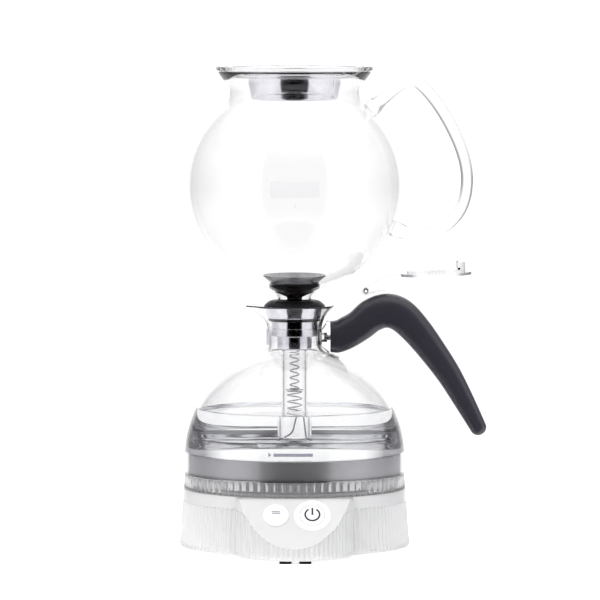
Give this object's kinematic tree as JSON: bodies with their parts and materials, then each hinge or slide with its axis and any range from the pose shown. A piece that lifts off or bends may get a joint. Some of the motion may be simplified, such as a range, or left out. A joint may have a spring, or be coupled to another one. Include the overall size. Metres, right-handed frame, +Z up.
{
  "type": "siphon coffee maker",
  "caption": "Electric siphon coffee maker: a mains base, a glass carafe on a heating dish, and a glass globe whose stem dips into the carafe.",
  "frame": {"origin": "on the vessels' axis at the level of the table, at the centre of the rubber foot ring", "axes": "+Z up along the vessels' axis, -Y towards the control panel, +X towards the handles"},
  "size_m": [0.2309, 0.207, 0.3619],
  "materials": {
    "glass": "clear polished borosilicate",
    "clear_plastic": "clear moulded, glossy",
    "silicone_clear": "translucent",
    "white_plastic": "satin moulded",
    "grey_plastic": "satin moulded",
    "black_plastic": "satin moulded",
    "dark_plastic": "dark brown, smooth",
    "soft_grip": "soft-touch matt",
    "black_rubber": "silicone, smooth",
    "stainless": "brushed",
    "polished_steel": "mirror polished",
    "aluminium": "as cast",
    "brass": "turned",
    "board_green": "solder mask",
    "lamp_amber": "moulded lens",
    "lead_brown": "silicone sleeve",
    "lead_blue": "silicone sleeve",
    "lead_green": "silicone sleeve"
  },
  "bodies": {
    "base": {"base_housing": "clear_plastic", "base_liner": "white_plastic", "bottom_plate": "white_plastic", "foot_ring": "black_rubber", "front_feet": "black_rubber", "bottom_screws": "stainless", "connector_post": "white_plastic", "connector_contacts": "brass", "cable_gland": "grey_plastic", "mains_terminal": "white_plastic", "control_board": "board_green", "board_switches": "black_plastic", "board_lights": "lamp_amber", "board_posts": "white_plastic", "power_ring": "white_plastic", "lead_brown": "lead_brown", "lead_blue": "lead_blue", "lead_earth": "lead_green"},
    "power_key": {"power_button": "white_plastic"},
    "warm_key": {"warm_button": "white_plastic"},
    "carafe": {"carafe_glass": "glass", "glass_seal": "silicone_clear", "carafe_collar": "clear_plastic", "heater_dish": "stainless", "heat_spreader": "aluminium", "heating_element": "stainless", "thermostat": "black_plastic", "carafe_bottom_cover": "grey_plastic", "cover_screws": "stainless", "cover_pillars": "aluminium", "neck_band": "clear_plastic", "handle_screw": "stainless", "handle_grip": "soft_grip", "lid_hinge_block": "clear_plastic", "lid_hinge_pin": "stainless"},
    "pouring_lid": {"carafe_lid": "clear_plastic"},
    "globe": {"globe_glass": "glass", "globe_handle": "glass", "stem_tube": "clear_plastic", "stopper_shell": "polished_steel", "stopper": "black_rubber", "neck_seal": "black_rubber", "spring_washer": "stainless", "lower_spring": "stainless", "stem_hook": "stainless"},
    "filter": {"filter_body": "dark_plastic", "filter_dish": "clear_plastic", "filter_gasket": "black_rubber", "filter_mesh": "stainless", "filter_spring": "stainless"},
    "globe_lid": {"globe_lid_ring": "clear_plastic", "globe_lid_cup": "polished_steel", "globe_lid_gasket": "silicone_clear"}
  },
  "joints": [
    {"name": "carafe_lift", "type": "slide", "parent": "base", "child": "carafe", "axis": [0, 0, 1], "range_m": [0, 0.05]},
    {"name": "globe_lift", "type": "slide", "parent": "carafe", "child": "globe", "axis": [0, 0, 1], "range_m": [0, 0.12]},
    {"name": "globe_lid_lift", "type": "slide", "parent": "globe", "child": "globe_lid", "axis": [0, 0, 1], "range_m": [0, 0.05]},
    {"name": "filter_lift", "type": "slide", "parent": "globe", "child": "filter", "axis": [0, 0, 1], "range_m": [0, 0.01], "stiffness_N_per_m": 60, "springref_m": -0.02, "deforming": ["filter_spring"]},
    {"name": "pouring_lid_hinge", "type": "hinge", "parent": "carafe", "child": "pouring_lid", "pos_m": [0.0536, 0, 0.1934], "axis": [0, -1, 0], "range_deg": [0, 15]},
    {"name": "power_press", "type": "slide", "parent": "base", "child": "power_key", "axis": [0, 0.766, -0.6428], "range_m": [0, 0.0012], "stiffness_N_per_m": 400, "springref_m": -0.003},
    {"name": "warm_press", "type": "slide", "parent": "base", "child": "warm_key", "axis": [0, 0.766, -0.6428], "range_m": [0, 0.0012], "stiffness_N_per_m": 400, "springref_m": -0.003}
  ]
}
